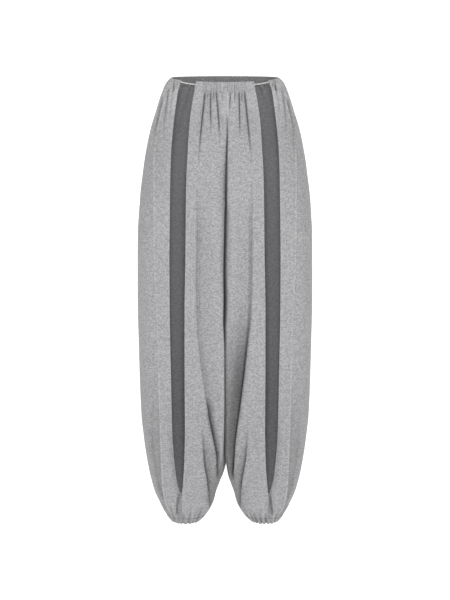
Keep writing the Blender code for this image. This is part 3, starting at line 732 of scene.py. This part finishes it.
def quads_of(index):
    """The faces between neighbouring rows and columns of point numbers."""
    return np.stack([index[:-1, :-1], index[1:, :-1], index[1:, 1:], index[:-1, 1:]], -1).reshape(-1, 4).tolist()


def capped_tube(name, grid, along, around, material):
    """A tube from rings of points, closed at both ends. along and around are its UV map."""
    rows, columns = grid.shape[:2]
    index = numbered(grid)
    faces = [*quads_of(np.concatenate([index, index[:, :1]], 1)), index[0].tolist(), index[-1, ::-1].tolist()]
    uv = np.stack([np.repeat(along, columns), np.tile(around, rows)], -1)
    made = new_object(name, grid, faces, uv, (material,))
    face_outwards(made)
    return made


def cloth_sheet(name, grid, across, dark, leg, materials):
    """A sheet from rows by columns of points. across is each point's place across the cloth, in metres."""
    if leg == LEFT:
        grid, across, dark = grid[:, ::-1], across[:, ::-1], dark[:, ::-1]
    uv = np.stack([across.reshape(-1) + leg * MARL_APART, grid[..., 2].reshape(-1)], -1)
    made = new_object(name, grid, quads_of(numbered(grid)), uv, materials, dark)
    face_outwards(made)
    wall = made.modifiers.new("thickness", "SOLIDIFY")
    wall.thickness = JERSEY
    wall.offset = -1.0
    wall.material_offset = 1
    bpy.ops.object.modifier_apply(modifier="thickness")
    bpy.ops.object.shade_smooth_by_angle(angle=SMOOTH_UP_TO)
    return made


def panel_places(panel, down):
    """The lengths along a level at which a panel has its columns."""
    points, length = half_section(down)
    start, end = panel_ends(panel, down, points, length)
    share = np.linspace(0, 1, GRID[panel] + 1)
    if panel == "side":
        return start + share * (end - start)
    inner = max(through(SECTION, "fork_x", down), 0)
    x = inner + TURN_AT * (through(SECTION, "side_x", down) - inner)
    turn = length_at(points, length, x)
    if panel == "back":
        behind = points[:, 1] >= 0
        turn = np.interp(-x * MM, -points[behind, 0], length[behind])
        return np.interp(share, (0, TURN_SHARE[panel], 1), (start, turn, end))
    forward = points[:, 1] < (CORNER_DEEP - through(SECTION, "front_y", down)) * MM
    corner = max(start + 2 * MM, length[np.argmax(forward)])
    return np.interp(share, (0, CORNER_SHARE, TURN_SHARE[panel], 1), (start, corner, turn, end))


def panel_grid(panel, leg):
    """The outer points of a panel, how far across the cloth each one is, and its painted shade and light."""
    rows = []
    for down in LEVELS:
        where = panel_places(panel, down)
        from_start, from_end = (where - where[0]) / MM, (where[-1] - where) / MM
        off_seam = from_start if panel == "back" else from_end
        proud = SEAM_RIDGE * (1 - ease(off_seam / SEAM_RIDGE_WIDE))
        if panel == "front":
            proud = TURNED_PROUD * (1 - ease((from_end - TURNED_EDGE + 1) / 2))
        proud *= ease((down - PANEL_TOP) / 8) * ease((ANKLE_TOP - down) / 8)
        at, _, dark = on_cloth(leg, down, where, proud)
        # painted highlight on the side seam's ridge
        if panel != "front":
            dark = dark - PAINTED_SEAM_HIGHLIGHT * bell(off_seam / PAINTED_SEAM_HIGHLIGHT_WIDE)
        # painted shade on the side panel beside the slit, low down
        if panel == "side":
            dark = dark + SLIT_SHADE * between(down, *SLIT_SHADE_GROWS) * (1 - ease(from_start / 15))
        # painted shade behind the side seam, low down
        if panel == "back":
            low = between(down, *PAINTED_LOW_SHADE_GROWS)
            dark = dark + SEAM_SHADE * low * (1 - ease(from_start / 32)) * ease(from_start / 3)
        rows.append((at, where - (where[0] + where[-1]) / 2, dark))
    return [np.array(part) for part in zip(*rows)]


def declare(piece, node_name):
    """Hangs the piece from the root and hides the solid that it stands in for."""
    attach(piece, "root")
    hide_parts(node_name)


print(len(LEVELS), "rows a panel")

# %% [markdown]
# ## The jersey
# Loopback cotton jersey in a marl: dyed and undyed fibres are spun together, so the face is a light grey with fine
# paler and darker flecks that lie along the courses. The reverse is a little darker. Both are matte, with a faint
# bloom of loose fibres, which sheen gives. The real flecks, about 0.8 mm, are under half a pixel in this view, so they
# are drawn nearly 3 mm long to show at all.

# %% Marl face and plain reverse
FACE_LIGHT = "a6a6a7"
FACE_DARK = "868688"
REVERSE_LIGHT = "98989a"
REVERSE_DARK = "848486"
WALE = 1.15 * MM
FLECK_LONG = 2.8 * MM
FLECK_TALL = 1.5 * MM
WAVE_TURN = 6.2832        # the wave texture repeats after this much, at scale 1
FINISH = {"Roughness": 0.94, "Specular IOR Level": 0.25, "Sheen Weight": 0.1, "Sheen Roughness": 0.5}


def jersey(name, light, dark, sharp):
    """A knitted cotton: flecks on the cloth's own map, the ribs of the knit and its loose fibres as a fine bump."""
    material, shader = new_material(name, FINISH)
    tree = material.node_tree
    cloth = node(tree, "ShaderNodeUVMap", uv_map="cloth").outputs["UV"]
    along = node(tree, "ShaderNodeMapping", [("Vector", cloth)], scale=(1 / FLECK_LONG, 1 / FLECK_TALL, 1))
    flecks = node(tree, "ShaderNodeTexVoronoi", [("Vector", along.outputs["Vector"])], voronoi_dimensions="2D",
                  scale=1.0)
    spread = node(tree, "ShaderNodeMapRange", [("Value", flecks.outputs["Color"])], from_min=0.5 - sharp,
                  from_max=0.5 + sharp)
    colour = node(tree, "ShaderNodeMix", [("Factor", spread.outputs["Result"])], data_type="RGBA")
    colour.inputs["A"].default_value = linear(dark)
    colour.inputs["B"].default_value = linear(light)
    # painted shade and light: the attribute darkens the base colour in troughs and shaded strips, and makes it paler
    # where light is painted
    painted_light_and_shade = node(tree, "ShaderNodeAttribute", attribute_name="painted_light_and_shade", attribute_type="GEOMETRY")
    left = node(tree, "ShaderNodeMath", [(1, painted_light_and_shade.outputs["Fac"])], operation="SUBTRACT", value=1.0)
    deep = node(tree, "ShaderNodeVectorMath", [("Vector", colour.outputs["Result"]), ("Scale", left.outputs["Value"])],
                operation="SCALE")
    tree.links.new(deep.outputs["Vector"], shader.inputs["Base Color"])
    knit = node(tree, "ShaderNodeTexWave", [("Vector", cloth)], scale=1 / WALE / WAVE_TURN, distortion=0.6,
                bands_direction="X")
    lofted = node(tree, "ShaderNodeBump", [("Height", flecks.outputs["Distance"])], strength=0.25, distance=0.5 * MM)
    ribbed = node(tree, "ShaderNodeBump", [("Height", knit.outputs["Fac"]), ("Normal", lofted.outputs["Normal"])],
                  strength=0.25, distance=0.25 * MM)
    tree.links.new(ribbed.outputs["Normal"], shader.inputs["Normal"])
    return material


marl = jersey("marl_cotton_jersey_face", FACE_LIGHT, FACE_DARK, 0.30)
reverse = jersey("plain_loopback_reverse", REVERSE_LIGHT, REVERSE_DARK, 0.30)
print("face", FACE_LIGHT, FACE_DARK, "reverse", REVERSE_LIGHT, REVERSE_DARK)

# %% [markdown]
# ## The leg panels
# A front panel from the centre seam to the slit, a narrow side panel from the slit to the side seam, and one wide
# back panel round the rest of the leg. The slit's front edge is turned in and stitched down, so a strip 17 mm wide
# stands very slightly proud. The side seam's turnings push it out into a soft ridge.

# %% Six panels
for leg, side in SIDES:
    for panel in ("front", "side", "back"):
        grid, across, dark = panel_grid(panel, leg)
        piece = cloth_sheet(f"{panel}_{side}_jersey", grid, across, dark, leg, (marl, reverse))
        declare(piece, f"{panel}_panel_{side}")

# %% [markdown]
# ## The casings
# At the waist and ankles the cloth is folded over an elastic and stitched down, so the casing is a soft tube that
# ends in a rolled edge. It is made as one closed loop of lines round the elastic. The waist's inner side shows the
# darker reverse, and so does the ankle's.

# %% Casing loops
CASING = 3.0
CASING_PROUD = 0.7
ROLL_TALL = 0.9
ROLL = ((0.25, -2.55), (0.0, -1.5), (0.25, -0.45))


def casing_loop(top, bottom, rolled_at_top):
    """Levels and offsets round a casing: down the outside and up the inside, with one edge rolled."""
    tall = bottom - top
    shares = np.linspace(0, 1, 15)
    outside = [(ROLL_TALL + (tall - ROLL_TALL) * t, CASING_PROUD * math.sin(math.pi * t)) for t in shares]
    inside = [(down, -CASING - 0.4 * proud) for down, proud in reversed(outside)]
    loop = [*outside, *inside, *ROLL]
    return [(top + down if rolled_at_top else bottom - down, proud) for down, proud in loop], len(outside)


def casing_line(stretches, down, proud):
    """One line of points along a casing, with their painted shade and light. stretches gives (leg, start, end, steps).
    """
    points, length = half_section(down)
    chunks = []
    for leg, start, end, steps in stretches(points, length, down):
        share = np.linspace(0, 1, steps + 1)
        at, _, dark = on_cloth(leg, down, start + share * (end - start), proud)
        chunks.append(np.column_stack([at, dark])[:-1])
    at, _, dark = on_cloth(leg, down, np.array([end, end]), proud)
    return np.concatenate([*chunks, np.column_stack([at, dark])[:1]])


def casing_piece(name, stretches, loop, outer_lines, closed, materials):
    """A soft tube of cloth round its elastic, closed end to end or capped."""
    lines = np.array([casing_line(stretches, down, proud) for down, proud in loop])
    grid, dark = lines[..., :3], lines[..., 3]
    if closed:
        grid, dark = grid[:, :-1], dark[:, :-1]
    index = numbered(grid)
    ring = np.concatenate([index, index[:1]], 0)
    if closed:
        ring = np.concatenate([ring, ring[:, :1]], 1)
    faces = quads_of(ring)
    if not closed:
        faces += [index[:, 0].tolist(), index[::-1, -1].tolist()]
    span = travelled(grid[0])
    uv = np.stack([np.tile(span, len(grid)), grid[..., 2].reshape(-1)], -1)
    made = new_object(name, grid, faces, uv, materials, dark)
    steps = ring.shape[1] - 1
    for polygon in made.data.polygons[(outer_lines - 1) * steps : (2 * outer_lines + 1) * steps]:
        polygon.material_index = 1
    face_outwards(made)
    bpy.ops.object.shade_smooth_by_angle(angle=SMOOTH_UP_TO)
    return made, float(span[-1])


print("casing", CASING, "mm thick")

# %% Where each casing runs
BAND_STEPS = 240


def front_run(points, length, down):
    """Slit to slit across the front."""
    end = length_at(points, length, through(SEAM, "slit_front", down + FRONT_DROP)) - SEAM_GAP / 2
    return ((RIGHT, end, 0, BAND_STEPS // 2), (LEFT, 0, end, BAND_STEPS // 2))


def back_run(points, length, down):
    """Slit to slit round the sides and back."""
    start = slit_length(down, points, length) + SEAM_GAP / 2
    return ((RIGHT, start, length[-1], 2 * BAND_STEPS), (LEFT, length[-1], start, 2 * BAND_STEPS))


def ankle_run(leg):
    """Once round an ankle, from inseam to inseam."""
    return lambda points, length, down: ((leg, 0, length[-1], 2 * BAND_STEPS),)


# %% Four casings
waist_loop, waist_outer = casing_loop(WAIST_TOP, PANEL_TOP, True)
for name, run in (("front", front_run), ("back", back_run)):
    casing, span = casing_piece(f"{name}_waist_casing", run, waist_loop, waist_outer, False, (marl, reverse))
    declare(casing, f"waistband_{name}")
ankle_loop, ankle_outer = casing_loop(ANKLE_TOP, ANKLE_BOTTOM, False)
for leg, side in SIDES:
    casing, span = casing_piece(f"ankle_casing_{side}", ankle_run(leg), ankle_loop, ankle_outer, True, (marl, reverse))
    declare(casing, f"ankle_band_{side}")

# %% [markdown]
# ## The bare elastic
# A flat braided elastic leaves the side casing and enters the front one, so it bridges the top of each slit, a little
# slack. Its threads cross each other in a fine herringbone, which the shape carries as a low relief.

# %% Elastic
ELASTIC_TALL = 2.6 * MM
ELASTIC_THICK = 1.5 * MM
ELASTIC_DROPS = 3.5 * MM
ELASTIC_SAG = 0.7 * MM
ELASTIC_RELIEF = 0.09
BRAID_PITCH = 2.4 * MM


def elastic_line(leg):
    """The middle line of the elastic, from the side casing's end to the front casing's end."""
    down = WAIST_TOP + 4.0
    points, length = half_section(down)
    stops = [length_at(points, length, through(SEAM, name, down + FRONT_DROP)) for name in ("slit_side", "slit_front")]
    at, out = places(points, length, np.array(stops) + np.array([-1, 1]) * 0.1 * MM)
    at -= out * CASING / 2 * MM
    height = -down * MM + waist_slope(at[:, 1], down) - np.array([0, ELASTIC_DROPS])
    ends = np.column_stack([at * np.array([leg, 1]), height])
    share = np.linspace(0, 1, 73)[:, None]
    line = ends[0] + share * (ends[1] - ends[0])
    line[:, 2] -= (4 * share * (1 - share) * ELASTIC_SAG)[:, 0]
    return line


def elastic_piece(name, line, material):
    """A flat braid swept along a line."""
    axis = line[-1] - line[0]
    run = np.linalg.norm(axis)
    across = np.cross(axis / run, (0, 0, 1.0))
    angle = np.arange(20) * (2 * np.pi / 20)
    along = np.linspace(0, run, len(line))[:, None]
    lay = 2 * np.pi * along / BRAID_PITCH
    relief = 1 + ELASTIC_RELIEF * np.sin(lay + 3 * angle) * np.sin(lay - 3 * angle)
    wide = ELASTIC_THICK / 2 * np.cos(angle) * relief
    tall = ELASTIC_TALL / 2 * np.sign(np.sin(angle)) * np.abs(np.sin(angle)) ** 0.7 * relief
    grid = line[:, None] + wide[..., None] * across + tall[..., None] * np.array([0, 0, 1.0])
    made = capped_tube(name, grid, along[:, 0], angle * ELASTIC_TALL / np.pi, material)
    bpy.ops.object.shade_smooth_by_angle(angle=SMOOTH_UP_TO)
    return made


braid = jersey("braided_polyester_elastic", "d4d4d2", "b2b2ae", 0.25)
for leg, side in SIDES:
    piece = elastic_piece(f"bare_elastic_{side}", elastic_line(leg), braid)
    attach(piece, "root")
    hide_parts(f"elastic_{side}")

# %% [markdown]
# ## Stitching
# The casings and the turned slit edges are held down with lockstitch in a matching thread, and the centre front seam
# is topstitched. Each seam is one thread that rises out of the cloth and dips back into it at every stitch.

# %% Thread
STITCH = 3.2 * MM
THREAD = 0.30 * MM
ANKLE_STITCH, ANKLE_THREAD = 4.4 * MM, 0.45 * MM
CENTRE_STITCH, CENTRE_THREAD = 5.0 * MM, 0.50 * MM
CENTRE_ENDS = 84
BESIDE_CENTRE = -1.6
THREAD_PROUD = 0.15
THREAD_RISE = (0.20, 0.34, 0.34, 0.20, -0.55)
DOTTED_RISE = (0.30, 0.38, -0.50, -0.70, -0.40)
SLIT_STITCH = 15.0
SLIT_ENDS = 925


def stitched_seam(name, line, out, material, stitch=STITCH, thick=THREAD, rises=THREAD_RISE):
    """A thread along a line of points on the cloth, with their outward directions."""
    span = travelled(line)
    count = int(span[-1] / stitch)
    beats = len(rises)
    at = np.arange(count * beats) * stitch / beats
    middle, rise, ahead = (read_off(values, span, at) for values in (line, out, np.gradient(line, axis=0)))
    rise /= np.linalg.norm(rise, axis=1)[:, None]
    middle += rise * (np.tile(rises, count) * MM)[:, None]
    beside = np.cross(ahead, rise)
    beside /= np.linalg.norm(beside, axis=1)[:, None]
    angle = np.arange(5) * (2 * np.pi / 5)
    grid = middle[:, None] + thick * (
        np.cos(angle)[None, :, None] * beside[:, None] + np.sin(angle)[None, :, None] * rise[:, None]
    )
    made = capped_tube(name, grid, at, angle * thick, material)
    made.data.shade_smooth()
    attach(made, "root")
    return count


def level_seam(run, down):
    """Points and directions along a casing at one level."""
    points, length = half_section(down)
    parts = []
    for leg, start, end, steps in run(points, length, down):
        where = start + np.linspace(0, 1, 2 * steps) * (end - start)
        parts.append(on_cloth(leg, down, where, THREAD_PROUD)[:2])
    return [np.concatenate(part) for part in zip(*parts)]


def upright_seam(leg, panel, from_slit, top, bottom, proud):
    """Points and directions down a panel, at a distance in mm from its slit edge, or from the centre if below 0."""
    parts = []
    for down in LEVELS[(LEVELS > top) & (LEVELS < bottom)]:
        where = panel_places(panel, down)
        edge = {"front": where[-1] - from_slit * MM, "side": where[0] + from_slit * MM}[panel]
        if from_slit < 0:
            edge = where[0] - from_slit * MM
        line, out, _ = on_cloth(leg, down, np.array([edge, edge]), proud)
        parts.append((line[:1], out[:1]))
    return [np.concatenate(part) for part in zip(*parts)]


thread = jersey("spun_polyester_thread", "b4b4b6", "a4a4a6", 0.3)
pale_thread = jersey("pale_spun_polyester_thread", "dededf", "d0d0d1", 0.3)
dark_thread = jersey("dark_spun_polyester_thread", "6e6e70", "606062", 0.3)
stitches = 0
for name, run in (("front", front_run), ("back", back_run)):
    stitches += stitched_seam(f"{name}_casing_stitches", *level_seam(run, PANEL_TOP - 1.4), thread)
for leg, side in SIDES:
    seam = level_seam(ankle_run(leg), ANKLE_TOP + 2.0)
    stitches += stitched_seam(f"ankle_stitches_{side}", *seam, dark_thread, ANKLE_STITCH, ANKLE_THREAD)
    for panel in ("front", "side"):
        proud = TURNED_PROUD if panel == "front" else 0.0
        seam = upright_seam(leg, panel, SLIT_STITCH, PANEL_TOP + 3, SLIT_ENDS, proud)
        stitches += stitched_seam(f"{panel}_slit_stitches_{side}", *seam, thread)
centre_seam = upright_seam(LEFT, "front", BESIDE_CENTRE, PANEL_TOP, CENTRE_ENDS, 0.2)
stitches += stitched_seam("centre_front_stitches", *centre_seam, pale_thread, CENTRE_STITCH, CENTRE_THREAD, DOTTED_RISE)
print(stitches, "stitches")
